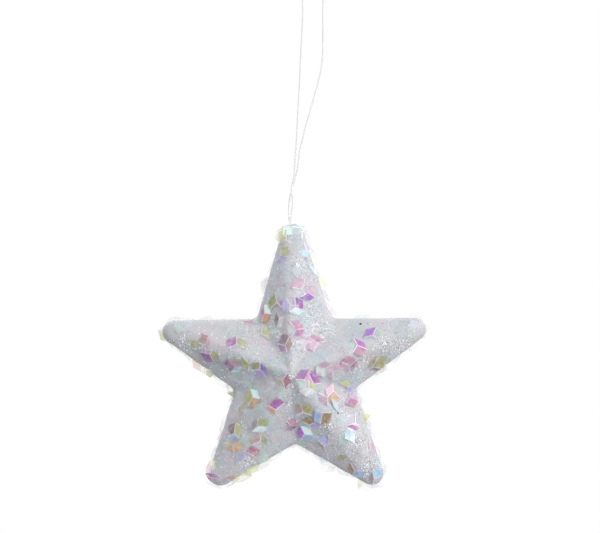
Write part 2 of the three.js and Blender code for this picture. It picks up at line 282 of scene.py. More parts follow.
bm = bmesh.new()
core_points = [(STRAND_ASIDE, KNOT_END), (STRAND_ASIDE / 2, WRAP_RISE), (0, 0), (0, -KNOT_END)]
core_route = [knot_middle + Vector((x, 0, z)) for x, z in core_points]
sweep_yarn(bm, smooth_route(core_route, RING_STEP / 2), PULLED_RADIUS)
wrap_route = [knot_middle + Vector((-STRAND_ASIDE, 0, KNOT_END))]
for i in range(WRAP_POINTS + 1):
    share = i / WRAP_POINTS
    angle = math.pi + math.tau * WRAP_TURNS * share
    around = Vector((math.cos(angle), math.sin(angle), 0)) * WRAP_RADIUS
    wrap_route.append(knot_middle + around + Vector((0, 0, WRAP_RISE * (1 - 2 * share))))
wrap_route.append(knot_middle + Vector((WRAP_RADIUS / 2, WRAP_RADIUS / 2, -KNOT_END + THREAD_RADIUS)))
sweep_yarn(bm, smooth_route(wrap_route, RING_STEP / 2), PULLED_RADIUS)
knot = new_piece("wound_knot", mesh_from(bm, "wound_knot"), thread_look)
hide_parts("tip_knot")
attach(knot, "knot")

# The thread follows the loop above the twist and the lead below it, and turns over the stretch between.
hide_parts("hanging_loop", "thread_lead_left", "thread_lead_right")
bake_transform(thread)

# Thread tails and glue
# Below the knot the two thread ends go down a hole bored in the tip, and hot-melt glue fills the hole round
# them. The glue is milky and waxy, and it stands up a little round the thread.
def glue_material():
    """Hot-melt glue: milky and waxy, so light soaks in a little, with a soft wet gloss."""
    ripple_width = 1.5 * MM
    material = new_material("hot-melt glue")
    place = add_node(material, "ShaderNodeTexCoord").outputs["Object"]
    ripple = add_node(
        material, "ShaderNodeTexNoise", inputs={"Vector": place, "Scale": 1 / ripple_width, "Detail": 1}
    ).outputs["Fac"]
    colour = add_node(
        material, "ShaderNodeValToRGB", inputs={"Fac": ripple}, steps=[(0.3, "#D9D8D2"), (0.7, "#EFEEEA")]
    ).outputs["Color"]
    bump = add_node(
        material, "ShaderNodeBump", inputs={"Height": ripple, "Distance": 0.1 * MM, "Strength": 0.5}
    )
    shader = add_node(
        material,
        "ShaderNodeBsdfPrincipled",
        inputs={
            "Base Color": colour,
            "Roughness": 0.35,
            "Subsurface Weight": 0.3,
            "Subsurface Scale": MM,
            "Normal": bump.outputs["Normal"],
        },
    )
    return finish_material(material, shader.outputs["BSDF"])


def set_material(node, material):
    """Puts a material on a CAD node in place of its plain one."""
    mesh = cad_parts[node].data
    mesh.materials.clear()
    mesh.materials.append(material)


set_material("thread_tails", thread_look)
set_material("glue_plug", glue_material())

# Foam core
# A moulded star of expanded polystyrene: white beads about 3 mm wide, steamed until they press flat against
# each other. The glitter coat hides it, and only its form shows.
def foam_material():
    """Expanded polystyrene: bright white and matt, with a fine net of joints between its beads."""
    bead_width = 3 * MM
    material = new_material("expanded polystyrene")
    place = add_node(material, "ShaderNodeTexCoord").outputs["Object"]
    joints = add_node(
        material,
        "ShaderNodeTexVoronoi",
        {"feature": "DISTANCE_TO_EDGE"},
        {"Vector": place, "Scale": 1 / bead_width},
    ).outputs["Distance"]
    colour = add_node(
        material, "ShaderNodeValToRGB", inputs={"Fac": joints}, steps=[(0, "#DCDDDC"), (0.12, "#F8F8F7")]
    ).outputs["Color"]
    bump = add_node(
        material, "ShaderNodeBump", inputs={"Height": joints, "Distance": 0.3 * MM, "Strength": 0.6}
    )
    shader = add_node(
        material,
        "ShaderNodeBsdfPrincipled",
        inputs={"Base Color": colour, "Roughness": 0.85, "Normal": bump.outputs["Normal"]},
    )
    return finish_material(material, shader.outputs["BSDF"])


set_material("foam_core", foam_material())

# Glitter coat
# White glue brushed over the foam and dusted with very fine clear glitter. It follows the foam, softens the
# ridges and valleys, and dries lumpy. The coat closes round the thread at the top tip.
MERGE_WITHIN = 0.001 * MM
COAT_THICKNESS = 0.6 * MM
COAT_LIFT = 0.86 * MM  # from the foam to the coat's outside
HOLE_RADIUS = 1.85 * MM  # a little wider than the foam's bored hole
MOUTH_RADIUS = 0.95 * MM  # the coat's opening round the thread
COAT_GRID = 0.62 * MM
LUMP_WIDTH = 5 * MM
LUMP_HEIGHT = 0.22 * MM
CRUMB_WIDTH = 1.1 * MM
CRUMB_HEIGHT = 0.05 * MM


def from_thread_line(point):
    """How far a point lies from the upright line of the bored hole."""
    return math.hypot(point.x - knot_middle.x, point.y)


def foam_surface():
    """The foam's outer surface with its bored hole closed, in even small faces."""
    bm = bmesh.new()
    bm.from_mesh(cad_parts["foam_core"].data)
    bmesh.ops.remove_doubles(bm, verts=bm.verts, dist=MERGE_WITHIN)
    bored = [face for face in bm.faces if all(from_thread_line(v.co) < HOLE_RADIUS for v in face.verts)]
    bmesh.ops.delete(bm, geom=bored, context="FACES")
    bmesh.ops.holes_fill(bm, edges=[edge for edge in bm.edges if edge.is_boundary])
    rough = bpy.data.objects.new("rough", mesh_from(bm, "rough"))
    bpy.context.collection.objects.link(rough)
    remesh = rough.modifiers.new("even", "REMESH")
    remesh.mode = "VOXEL"
    remesh.voxel_size = COAT_GRID
    even = bpy.data.meshes.new_from_object(rough.evaluated_get(bpy.context.evaluated_depsgraph_get()))
    bpy.data.objects.remove(rough)
    return even


def lay_coat(bm):
    """Moves the foam's surface out to the top of the coat, with its lumps and crumbs."""
    bm.normal_update()
    places = []
    for vertex in bm.verts:
        lump = noise.noise(vertex.co / LUMP_WIDTH) * LUMP_HEIGHT
        crumb = noise.noise(vertex.co / CRUMB_WIDTH) * CRUMB_HEIGHT
        places.append(vertex.co + vertex.normal * (COAT_LIFT + lump + crumb))
    for vertex, place in zip(bm.verts, places):
        vertex.co = place


def coat_material():
    """Clear glitter in white glue: bright cool white, a little cloudy, with a fine sandy grain."""
    sand_width = 0.5 * MM  # real grains are 0.2 mm, drawn coarser so that they show
    cloud_width = 8 * MM
    material = new_material("fine glitter in white glue")
    place = add_node(material, "ShaderNodeTexCoord").outputs["Object"]
    sand = add_node(
        material, "ShaderNodeTexNoise", inputs={"Vector": place, "Scale": 1 / sand_width, "Detail": 2}
    ).outputs["Fac"]
    colour = add_node(
        material,
        "ShaderNodeValToRGB",
        inputs={"Fac": sand},
        steps=[(0.3, "#E3E3E6"), (0.5, "#ECEBEE"), (0.72, "#F5F4F6")],
    ).outputs["Color"]
    clouds = add_node(
        material, "ShaderNodeTexNoise", inputs={"Vector": place, "Scale": 1 / cloud_width, "Detail": 2}
    ).outputs["Fac"]
    tint = add_node(
        material,
        "ShaderNodeValToRGB",
        inputs={"Fac": clouds},
        steps=[(0.35, "#E9F1F5"), (0.5, "#F5F8F9"), (0.66, "#F8F4F8")],
    ).outputs["Color"]
    mixed = add_node(
        material,
        "ShaderNodeMix",
        {"data_type": "RGBA", "blend_type": "MULTIPLY"},
        {"Factor": 1.0, "A": colour, "B": tint},
    )
    bump = add_node(
        material, "ShaderNodeBump", inputs={"Height": sand, "Distance": 0.12 * MM, "Strength": 0.35}
    )
    shader = add_node(
        material,
        "ShaderNodeBsdfPrincipled",
        inputs={
            "Base Color": mixed.outputs["Result"],
            "Roughness": 0.5,
            "Normal": bump.outputs["Normal"],
            "Sheen Weight": 0.6,
            "Sheen Roughness": 0.3,
        },
    )
    return finish_material(material, shader.outputs["BSDF"])


coat_look = coat_material()
bm = bmesh.new()
bm.from_mesh(foam_surface())
lay_coat(bm)
bm.normal_update()
coat_surface = BVHTree.FromBMesh(bm)
mouth = [
    face
    for face in bm.faces
    if from_thread_line(face.calc_center_median()) < MOUTH_RADIUS
    and face.calc_center_median().z > coat_high.z - TOP_ARM_REACH / 4
]
bmesh.ops.delete(bm, geom=mouth, context="FACES")
coat = new_piece("glitter_skin", mesh_from(bm, "glitter_skin"), coat_look)
wall = coat.modifiers.new("wall", "SOLIDIFY")
wall.thickness = COAT_THICKNESS
wall.offset = -1
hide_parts("glitter_coat")
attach(coat, "star")

# Fine glitter
# Clear polyester glitter shaken over the glue before it dries. It lies thick in some patches and thin
# between them, and each grain is tilted its own way, so a few of them catch the light while the rest only
# roughen the surface. A few grains picked at random also glow white as painted glints, and a few are painted
# dark grey as painted shade.
FACE_SIGNS = {"front": -1, "rear": 1}  # which way each face looks along Y
GRAIN_RADIUS = 0.26 * MM  # a real grain's is 0.1 mm, drawn larger so that it shows
GRAIN_DEPTH = 0.05 * MM
GRAIN_TILT = 0.5
THIN_GRAINS = 1300  # on each face
PATCH_GRAINS = 85  # in a patch of the usual radius
USUAL_PATCH_MM = 3
# Each patch in millimetres: right of the star's middle and above it in the picture, and its radius.
PATCHES_AT = [
    (9, 16, 6), (1.5, 9.5, 3), (5, -7.5, 2.5), (13, -22, 3.5), (-18, -34.5, 3), (-3, -13, 2.5),
    (34, 9, 4), (42, 9, 4), (27, 4, 3), (28, -37, 4), (24, -28, 4), (2, 40, 3), (-42, 10, 3.5),
    (-6.5, 13.5, 2.5), (-21, -22, 3), (17, -16, 3), (-1, -19, 3), (24, 0, 3.5), (-15, -41, 3),
    (7, 24, 3), (-1, 7, 1.6), (-1, 3, 1.6), (-1, -2, 1.6), (-1, -6, 1.6), (-1, -10, 1.6),
]


def picture_point(right_mm, up_mm):
    """The point so far right of the star's middle and above it in the picture, as deep as the middle."""
    return star_middle + view_right * right_mm * MM + view_up * up_mm * MM


def seen_point(right_mm, up_mm):
    """The point and normal of the coat that the camera sees there in the picture."""
    through = picture_point(right_mm, up_mm)
    return coat_surface.ray_cast(camera.location, (through - camera.location).normalized())[:2]


def on_coat(x, z, face_sign):
    """The point and normal of the coat's front or rear at x and z."""
    start = Vector((x, face_sign * TOP_ARM_REACH, z))
    return coat_surface.ray_cast(start, Vector((0, -face_sign, 0)))[:2]


def grain_mesh():
    """One grain: a thin disc with six sides and a slanting edge."""
    bm = bmesh.new()
    bmesh.ops.create_cone(
        bm, cap_ends=True, segments=6, radius1=GRAIN_RADIUS, radius2=GRAIN_RADIUS * 0.8, depth=GRAIN_DEPTH
    )
    return mesh_from(bm, "grain")


def grain_material():
    """Clear polyester glitter: white and glossy, with painted glints on grains picked at random and painted
    shade on a few.
    """
    material = new_material("clear polyester glitter")
    place = add_node(material, "ShaderNodeTexCoord").outputs["Object"]
    grains = add_node(
        material, "ShaderNodeTexVoronoi", inputs={"Vector": place, "Scale": 1 / (2 * GRAIN_RADIUS)}
    ).outputs["Color"]
    tone = add_node(material, "ShaderNodeSeparateColor", inputs={"Color": grains})
    # The darkest step paints about one grain in ten dark grey: painted shade.
    colour = add_node(
        material,
        "ShaderNodeValToRGB",
        inputs={"Fac": tone.outputs["Red"]},
        steps=[(0.06, "#969BA3"), (0.12, "#DDE2EA"), (0.6, "#FFFFFF"), (0.95, "#FBF2FB")],
    ).outputs["Color"]
    # Painted glints: grains picked at random by their cell glow white, whichever way they face.
    painted_glints = add_node(
        material,
        "ShaderNodeValToRGB",
        inputs={"Fac": tone.outputs["Green"]},
        steps=[(0.68, "#000000"), (0.76, "#FFFFFF")],
    ).outputs["Color"]
    shader = add_node(
        material,
        "ShaderNodeBsdfPrincipled",
        inputs={
            "Base Color": colour,
            "Roughness": 0.28,
            "IOR": 2.0,  # polyester has 1.6, raised for the sparkle
            "Emission Color": painted_glints,
            "Emission Strength": 0.3,
        },
    )
    return finish_material(material, shader.outputs["BSDF"])


grain_look = grain_material()
grain_model = grain_mesh()
sprinkle = random.Random(3)


def add_grain(bm, point, normal):
    """Adds a grain that lies on the coat, tilted its own way."""
    lean = Vector([sprinkle.gauss(0, GRAIN_TILT) for _ in range(3)])
    facing = (normal + lean).normalized().to_track_quat("Z", "Y").to_matrix().to_4x4()
    copy = grain_model.copy()
    copy.transform(Matrix.Translation(point + normal * GRAIN_RADIUS / 2) @ facing)
    bm.from_mesh(copy)
    bpy.data.meshes.remove(copy)


for face_name, face_sign in FACE_SIGNS.items():
    bm = bmesh.new()
    laid = 0
    while laid < THIN_GRAINS:
        x = sprinkle.uniform(coat_low.x, coat_high.x)
        z = sprinkle.uniform(coat_low.z, coat_high.z)
        point, normal = on_coat(x, z, face_sign)
        if point is not None:
            add_grain(bm, point, normal)
            laid += 1
    for right_mm, up_mm, radius_mm in PATCHES_AT:
        for _ in range(round(PATCH_GRAINS * (radius_mm / USUAL_PATCH_MM) ** 2)):
            seen_at = right_mm + sprinkle.gauss(0, radius_mm / 2), up_mm + sprinkle.gauss(0, radius_mm / 2)
            point, normal = seen_point(*seen_at)
            if face_name == "rear" and point is not None:
                point, normal = on_coat(2 * star_middle.x - point.x, point.z, face_sign)
            if point is not None:
                add_grain(bm, point, normal)
    name = f"fine_glitter_{face_name}"
    grains = new_piece(name, mesh_from(bm, name), grain_look, smooth=False)
    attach(grains, "star")

# Dark speck
# One crumb of dark dust, just under 1 mm wide, caught in the glue near the upper edge of the right arm. It
# is nearly black and matt.
SPECK_RADIUS = 0.45 * MM
SPECK_RIGHT_MM = 25.2
SPECK_UP_MM = 17.6


def speck_material():
    """A crumb of dark dust: nearly black and matt, with slightly paler spots."""
    spot_width = 0.3 * MM
    material = new_material("dark speck")
    place = add_node(material, "ShaderNodeTexCoord").outputs["Object"]
    spots = add_node(
        material, "ShaderNodeTexNoise", inputs={"Vector": place, "Scale": 1 / spot_width}
    ).outputs["Fac"]
    colour = add_node(
        material, "ShaderNodeValToRGB", inputs={"Fac": spots}, steps=[(0.3, "#1E1D20"), (0.7, "#3A3738")]
    ).outputs["Color"]
    shader = add_node(material, "ShaderNodeBsdfPrincipled", inputs={"Base Color": colour, "Roughness": 0.7})
    return finish_material(material, shader.outputs["BSDF"])


speck_place = Matrix.Translation(seen_point(SPECK_RIGHT_MM, SPECK_UP_MM)[0])
bm = bmesh.new()
bmesh.ops.create_icosphere(bm, subdivisions=1, radius=SPECK_RADIUS, matrix=speck_place)
speck = new_piece("dark_speck", mesh_from(bm, "dark_speck"), speck_material())
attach(speck, "star")

# Film flakes
# Hexagons cut from thin iridescent film, 6.6 mm across their flats. Each is pressed into three flat rhombs,
# like the corner of a cube, and each rhomb catches the light in its own colour. They were scattered on wet
# glue.
FLAKE_WIDTH = 6.6 * MM
FLAKE_RADIUS = FLAKE_WIDTH / math.sqrt(3)
FLAKE_EMBOSS = 0.7 * MM
CREASE_WIDTH = 0.4 * MM
# Each tint's colour, and how far it covers what lies below it, from 0 to 1.
FILM_TINTS = {
    "magenta": ("#C67DC8", 0.97),
    "crimson": ("#CC8AAA", 0.95),
    "violet": ("#C48CE2", 0.97),
    "rose": ("#DCA6C4", 0.93),
    "rosewood": ("#B89FA9", 0.9),
    "pink": ("#EBCBDF", 0.85),
    "olive": ("#C4C787", 0.92),
    "lime": ("#D5DB9E", 0.88),
    "pale_lime": ("#EEEFCB", 0.85),
    "tan": ("#D8BCB2", 0.85),
    "brown": ("#BEA279", 0.92),
    "orange": ("#EBC4A3", 0.88),
    "mint": ("#EBFBF8", 0.98),
    "blue": ("#C6E2F7", 0.9),
    "lilac": ("#D1CAF0", 0.85),
    "white": ("#FBFEFF", 1.0),
    "ice": ("#E6F8FF", 0.92),
    "haze_pink": ("#EFE6EC", 0.32),
    "haze_blue": ("#E4ECF5", 0.32),
    "haze_mint": ("#DFF3EC", 0.38),
    "edge_lime": ("#F6F7C6", 0.7),
    "edge_pink": ("#FBDCEA", 0.62),
    "edge_white": ("#FFFFFF", 0.55),
    "clear": ("#F0F2F5", 0.14),
}
CREASE_TINT = "#FBF4FA"
CREASE_COVER_SHARE = 0.9
CREASE_FACET = 3  # the rhombs are facets 0 to 2
SHADE_RANGE = (0.94, 1.05)
FOLD_LEAN = 1.4  # how far the folds' meeting point strays, for each millimetre that it stands up
LEVEL_WITHIN = 0.08 * MM  # a flake's low corners are level with each other within this


def film_flake():
    """One flake in its own frame: its seat at the origin, the first of its low corners along X."""
    bm = bmesh.new()
    bmesh.ops.create_circle(bm, cap_ends=True, segments=6, radius=FLAKE_RADIUS)
    poked = bmesh.ops.poke(bm, faces=bm.faces[:], offset=FLAKE_EMBOSS)
    corners = [edge.other_vert(poked["verts"][0]) for edge in poked["verts"][0].link_edges]
    corners.sort(key=lambda corner: math.atan2(corner.co.y, corner.co.x))
    spokes = [bm.edges.get((poked["verts"][0], corner)) for corner in corners]
    for corner in corners[::2]:
        corner.co.z = FLAKE_EMBOSS / 2
    bmesh.ops.dissolve_edges(bm, edges=spokes[1::2])
    turn = -math.atan2(corners[1].co.y, corners[1].co.x)
    bmesh.ops.rotate(bm, matrix=Matrix.Rotation(turn, 3, "Z"), verts=bm.verts)
    bmesh.ops.inset_individual(bm, faces=bm.faces[:], thickness=CREASE_WIDTH / 2, use_even_offset=True)
    peak = max(bm.verts, key=lambda vert: vert.co.z)
    facet = bm.faces.layers.int.new("facet")
    for face in bm.faces:
        middle = face.calc_center_median()
        rhomb = round(math.atan2(middle.y, middle.x) / (math.tau / 3)) % 3
        face[facet] = CREASE_FACET if peak in face.verts else rhomb
    bmesh.ops.recalc_face_normals(bm, faces=bm.faces)
    bm.loops.layers.float_color.new("film")
    return mesh_from(bm, "film_flake")


flake_model = film_flake()
facets = np.zeros(len(flake_model.polygons), dtype=np.int32)
flake_model.attributes["facet"].data.foreach_get("value", facets)
corner_counts = np.array([len(polygon.loop_indices) for polygon in flake_model.polygons])
corner_facets = np.repeat(facets, corner_counts)
dice = random.Random(7)


def add_flake(bm, place, tints, width=1):
    """Adds a flake at a place, with a tint for each of its three rhombs, anticlockwise from the first.

    A crumpled flake has a width below 1, the way its first low corner points.
    """
    films = [FILM_TINTS[tint] for tint in tints]
    crease_cover = CREASE_COVER_SHARE * max(cover for _, cover in films) ** 2
    colours = []
    for sheet_hex, cover in films + [(CREASE_TINT, crease_cover)]:
        shade = dice.uniform(*SHADE_RANGE)
        colours.append([min(1, channel * shade) for channel in linear(sheet_hex)[:3]] + [cover])
    lean = Matrix.Identity(4)  # the folds of pressed film seldom meet just over the middle
    lean[0][2], lean[1][2] = dice.gauss(0, FOLD_LEAN), dice.gauss(0, FOLD_LEAN)
    lean[0][0] = width
    copy = flake_model.copy()
    copy.transform(place @ lean)
    copy.attributes["film"].data.foreach_set("color", np.array(colours)[corner_facets].ravel())
    bm.from_mesh(copy)
    bpy.data.meshes.remove(copy)


def film_material():
    """Iridescent polyester film: thin, glossy, clear from some sides and pink, green or gold from others;
    its palest tints carry a painted glow.
    """
    wave_width = 1.6 * MM  # ripples that veil the colour
    drift_width = 3.5 * MM  # spots where the hue drifts
    fade_width = 5 * MM  # spots that let the coat show through
    material = new_material("iridescent film")
    tint = add_node(material, "ShaderNodeAttribute", {"attribute_name": "film"})
    place = add_node(material, "ShaderNodeTexCoord").outputs["Object"]
    waves = add_node(
        material, "ShaderNodeTexNoise", inputs={"Vector": place, "Scale": 1 / wave_width, "Detail": 2}
    ).outputs["Fac"]
    veil = add_node(
        material,
        "ShaderNodeMapRange",
        inputs={"Value": waves, "From Min": 0.4, "From Max": 0.75, "To Min": 0.0, "To Max": 0.5},
    ).outputs["Result"]
    drifts = add_node(
        material, "ShaderNodeTexNoise", inputs={"Vector": place, "Scale": 1 / drift_width}
    ).outputs["Fac"]
    hue = add_node(
        material,
        "ShaderNodeMapRange",
        inputs={"Value": drifts, "From Min": 0.3, "From Max": 0.7, "To Min": 0.455, "To Max": 0.545},
    ).outputs["Result"]
    turned = add_node(
        material, "ShaderNodeHueSaturation", inputs={"Hue": hue, "Color": tint.outputs["Color"]}
    ).outputs["Color"]
    colour = add_node(
        material,
        "ShaderNodeMix",
        {"data_type": "RGBA"},
        {"Factor": veil, "A": turned, "B": linear("#F4F4FA")},
    ).outputs["Result"]
    fades = add_node(
        material, "ShaderNodeTexNoise", inputs={"Vector": place, "Scale": 1 / fade_width, "Detail": 0}
    ).outputs["Fac"]
    fade = add_node(
        material,
        "ShaderNodeMapRange",
        inputs={"Value": fades, "From Min": 0.38, "From Max": 0.5, "To Min": 0.5, "To Max": 1.0},
    ).outputs["Result"]
    cover = add_node(
        material, "ShaderNodeMath", {"operation": "MULTIPLY"}, {0: fade, 1: tint.outputs["Alpha"]}
    )
    # Painted highlight: the palest tints and the creases give off light of their own, for film that mirrors
    # the studio light.
    painted_flake_glow = add_node(
        material,
        "ShaderNodeGamma",
        inputs={"Color": colour, "Gamma": 5},  # so steep that only the palest tints glow
    )
    bump = add_node(
        material, "ShaderNodeBump", inputs={"Height": waves, "Distance": 0.1 * MM, "Strength": 0.3}
    )
    shader = add_node(
        material,
        "ShaderNodeBsdfPrincipled",
        inputs={
            "Base Color": colour,
            "Alpha": cover.outputs["Value"],
            "Roughness": 0.38,
            "Metallic": 0.1,
            "Thin Film Thickness": 420,  # in nanometres
            "Thin Film IOR": 1.5,
            "Normal": bump.outputs["Normal"],
            "Emission Color": painted_flake_glow.outputs["Color"],
            "Emission Strength": 0.24,
        },
    )
    return finish_material(material, shader.outputs["BSDF"])


film_look = film_material()


def film_piece(name, bm):
    """A piece of film flakes that are stuck on the star."""
    piece = new_piece(name, mesh_from(bm, name), film_look, smooth=False)
    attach(piece, "star")
    return piece


def turned_place(seat, normal, towards):
    """A flake's place from its seat, its normal and the way its first low corner points."""
    across = normal.cross(towards).normalized()
    along = across.cross(normal).normalized()
    return Matrix.Translation(seat) @ Matrix((along, across, normal.normalized())).transposed().to_4x4()


def node_place(node, towards):
    """The place of one of the frame's flakes, with the low corner that points most towards a way first."""
    points = np.array([vertex.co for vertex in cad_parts[node].data.vertices])
    middle = (points.max(axis=0) + points.min(axis=0)) / 2
    normal = Vector(np.linalg.svd(points - points.mean(axis=0))[2][2])
    if normal.y * middle[1] < 0:
        normal.negate()
    heights = points @ np.array(normal)
    seat = Vector(points[np.argmax(heights)]) - normal * (heights.max() - heights.min())
    low_corners = points[heights < heights.min() + LEVEL_WITHIN]
    first = max((Vector(corner) - seat for corner in low_corners), key=lambda reach: reach.dot(towards))
    return turned_place(seat, normal, first)


def picture_way(angle):
    """The way that points so many degrees anticlockwise from the right in the camera's picture."""
    return view_right * math.cos(math.radians(angle)) + view_up * math.sin(math.radians(angle))


VIVID_SETS = [
    ("magenta", "tan", "clear"), ("magenta", "rose", "clear"), ("rose", "olive", "white"),
    ("rose", "pink", "clear"), ("mint", "clear", "violet"), ("white", "magenta", "clear"),
    ("white", "lilac", "clear"), ("pink", "clear", "clear"), ("olive", "magenta", "clear"),
    ("orange", "magenta", "mint"), ("lime", "olive", "rose"), ("tan", "clear", "clear"),
    ("rosewood", "olive", "clear"), ("mint", "clear", "clear"), ("blue", "clear", "clear"),
    ("olive", "clear", "tan"),
]
# Each front flake with a node: the way its first low corner points in the picture, and its tints.
FRONT_LOOKS = [
    (42, "lime", "clear", "lilac"), (265, "violet", "pink", "clear"),
    (150, "olive", "clear", "magenta"), (270, "mint", "magenta", "clear"),
    (240, "magenta", "tan", "rosewood"), (98, "pink", "clear", "haze_pink"),
    (145, "magenta", "haze_pink", "lime"), (228, "magenta", "olive", "clear"),
    (190, "magenta", "ice", "tan"), (145, "olive", "lilac", "violet"), (165, "lime", "orange", "mint"),
    (270, "blue", "lime", "rosewood"), (100, "magenta", "orange", "haze_pink"),
    (160, "rosewood", "mint", "olive"), (20, "olive", "tan", "clear"), (150, "tan", "clear", "olive"),
    (300, "olive", "clear", "clear"), (180, "brown", "blue", "clear"), (270, "orange", "clear", "pink"),
    (90, "magenta", "ice", "clear"), (30, "pink", "clear", "clear"), (90, "rose", "white", "haze_mint"),
    (90, "rose", "pink", "rose"), (270, "rosewood", "olive", "olive"),
    (140, "violet", "clear", "haze_mint"),
]
RIM_DEPTH = 6 * MM
RIM_TINTS = ("haze_mint", "clear", "haze_pink")  # a rear flake near the rim shows from the front, palely
flake_seats = []
for face_name in FACE_SIGNS:
    for i, (angle, *tints) in enumerate(FRONT_LOOKS):
        node = f"{face_name}_flake_{i + 1:02d}"
        if face_name == "rear":
            angle, tints = dice.uniform(0, 360), dice.sample(dice.choice(VIVID_SETS), 3)
        place = node_place(node, picture_way(angle))
        if face_name == "rear" and place.translation.y < RIM_DEPTH:
            tints = RIM_TINTS
        flake_seats.append(place.translation.copy())
        bm = bmesh.new()
        add_flake(bm, place, tints)
        flake = film_piece(f"film_{node}", bm)
        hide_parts(node)

# Loose flakes
# The same film, scattered over both faces. Most of it lies the wrong way to catch the light and stays
# nearly clear, so it shows as pale overlapping scales. It is thickest round the middle and thin on the
# upper sides of the two side arms.

# Each flake seen clearly in the photograph: right of the star's middle and above it in the picture, in
# millimetres, the way its first low corner points there, in degrees, and its tints.
SEEN_FLAKES = [
    (-10.6, 21.5, 170, "rose", "orange", "mint"), (-5.8, 19.2, 180, "rosewood", "white", "clear"),
    (-1.7, 24.2, 180, "lilac", "clear", "clear"), (1.6, 32.4, 125, "rose", "clear", "haze_pink"),
    (0.3, 16.1, 65, "rose", "clear", "magenta"), (6.9, 9.8, 75, "rose", "pink", "clear"),
    (-17.2, 16.5, 90, "rose", "clear", "clear"), (-12.3, 13.7, 25, "lime", "clear", "clear"),
    (-34.4, 10.3, 350, "rose", "tan", "clear"), (-37.3, 8.4, 180, "olive", "clear", "olive"),
    (2.8, 9.4, 90, "white", "clear", "haze_pink"), (-17.6, 4.3, 205, "olive", "clear", "clear"),
    (-4.4, -3.2, 350, "crimson", "haze_blue", "lime"), (3.4, -2.2, 122, "magenta", "haze_mint", "pink"),
    (4.6, -6, 265, "white", "lime", "haze_mint"), (6.2, -2.6, 55, "magenta", "pink", "clear"),
    (16.2, -0.5, 90, "pink", "pink", "clear"), (19.3, -5.6, 90, "lime", "clear", "lilac"),
    (24.3, 8.4, 50, "magenta", "haze_mint", "rose"), (21.9, -11.8, 285, "rose", "pink", "clear"),
    (11.4, -9.8, 215, "rose", "clear", "clear"), (16.6, -12.2, 210, "ice", "clear", "clear"),
    (10.9, -18.1, 315, "brown", "clear", "blue"), (23.2, -18.8, 265, "white", "clear", "clear"),
    (4.0, -23.9, 180, "violet", "blue", "mint"), (6.1, -19.9, 90, "brown", "haze_mint", "lilac"),
    (-2.2, -20.4, 65, "rose", "clear", "magenta"), (-16.8, -31.4, 95, "crimson", "clear", "lime"),
    (-22.8, -28.7, 90, "tan", "orange", "orange"), (-19.9, -32.6, 145, "lilac", "clear", "clear"),
    (-19.3, -15, 160, "lime", "clear", "clear"), (-29.9, -41.3, 70, "magenta", "rose", "clear"),
    (-25.2, -42, 90, "tan", "clear", "pink"), (12.0, -27.6, 215, "brown", "clear", "lilac"),
    (31.3, -40.3, 180, "rosewood", "clear", "blue"), (-1.2, 52.9, 90, "mint", "mint", "haze_mint"),
    (3.4, 46.0, 270, "ice", "clear", "clear"), (5.8, 36.9, 40, "ice", "clear", "clear"),
    (-3.4, 50.6, 145, "pale_lime", "clear", "clear"), (1.2, 51.8, 90, "ice", "clear", "clear"),
]
LEVEL_PROBES = 6
LEVEL_REACH = 0.7  # of a flake's radius, where the coat's level is felt
ASKEW = 0.11
OVERLAP_REACH = 1.4 * FLAKE_RADIUS
OVERLAP_LIFT = 0.3 * MM  # for each flake that lies under another
MOST_LIFTS = 2


def lying_place(point, normal, towards, sunk=FLAKE_EMBOSS / 4):
    """A flake's place on the coat, level with it round the point and sunk so far into its highest spot."""
    across = normal.orthogonal().normalized()
    hits = [point]
    for i in range(LEVEL_PROBES):
        way = Matrix.Rotation(math.tau * i / LEVEL_PROBES, 3, normal) @ across
        above = point + (way * LEVEL_REACH + normal) * FLAKE_RADIUS
        hit = coat_surface.ray_cast(above, -normal, 2 * FLAKE_RADIUS)[0]
        if hit is not None:
            hits.append(hit)
    middle = sum(hits, Vector()) / len(hits)
    level = Vector(np.linalg.svd(np.array(hits) - np.array(middle))[2][2]) if len(hits) > 3 else normal
    if level.dot(normal) < 0:
        level.negate()
    level = (level + Vector([dice.gauss(0, ASKEW) for _ in range(3)])).normalized()
    highest = max((hit - middle).dot(level) for hit in hits)
    under = sum((point - seat).length < OVERLAP_REACH for seat in flake_seats)
    rise = highest - sunk + min(under, MOST_LIFTS) * OVERLAP_LIFT
    return turned_place(middle + level * rise, level, towards)


PRESSED_RISE = 0.1 * MM  # from the coat's own flake to the film on it
LENGTH_TOLERANCE = 0.01 * MM
LEAST_CREASE_ANGLE = math.radians(110)


def pressed_places():
    """Seat, normal and a low corner's way for each flake that is one piece with the frame's coat.

    Where such a flake peaks, three creases of the same length meet about 120 degrees apart.
    """
    bm = bmesh.new()
    bm.from_mesh(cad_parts["glitter_coat"].data)
    bmesh.ops.remove_doubles(bm, verts=bm.verts, dist=MERGE_WITHIN)
    crease = math.hypot(FLAKE_RADIUS, FLAKE_EMBOSS / 2)
    places = []
    for vertex in bm.verts:
        reaches = [edge.other_vert(vertex).co - vertex.co for edge in vertex.link_edges]
        creases = [reach for reach in reaches if abs(reach.length - crease) < LENGTH_TOLERANCE]
        if len(creases) != 3 or creases[0].angle(creases[1]) < LEAST_CREASE_ANGLE:
            continue
        normal = (creases[1] - creases[0]).cross(creases[2] - creases[0]).normalized()
        if normal.y * vertex.co.y < 0:
            normal.negate()
        places.append((vertex.co - normal * (FLAKE_EMBOSS - PRESSED_RISE), normal, -creases[0]))
    bm.free()
    return places


ARM_START = 14 * MM
UPPER_SIDE_RISE = 8 * MM
UPPER_SIDE_SHARE = 0.12
MIDDLE_DENSITY = 1.1
DENSITY_FALL = 0.6  # from the middle to as far out as the top arm reaches


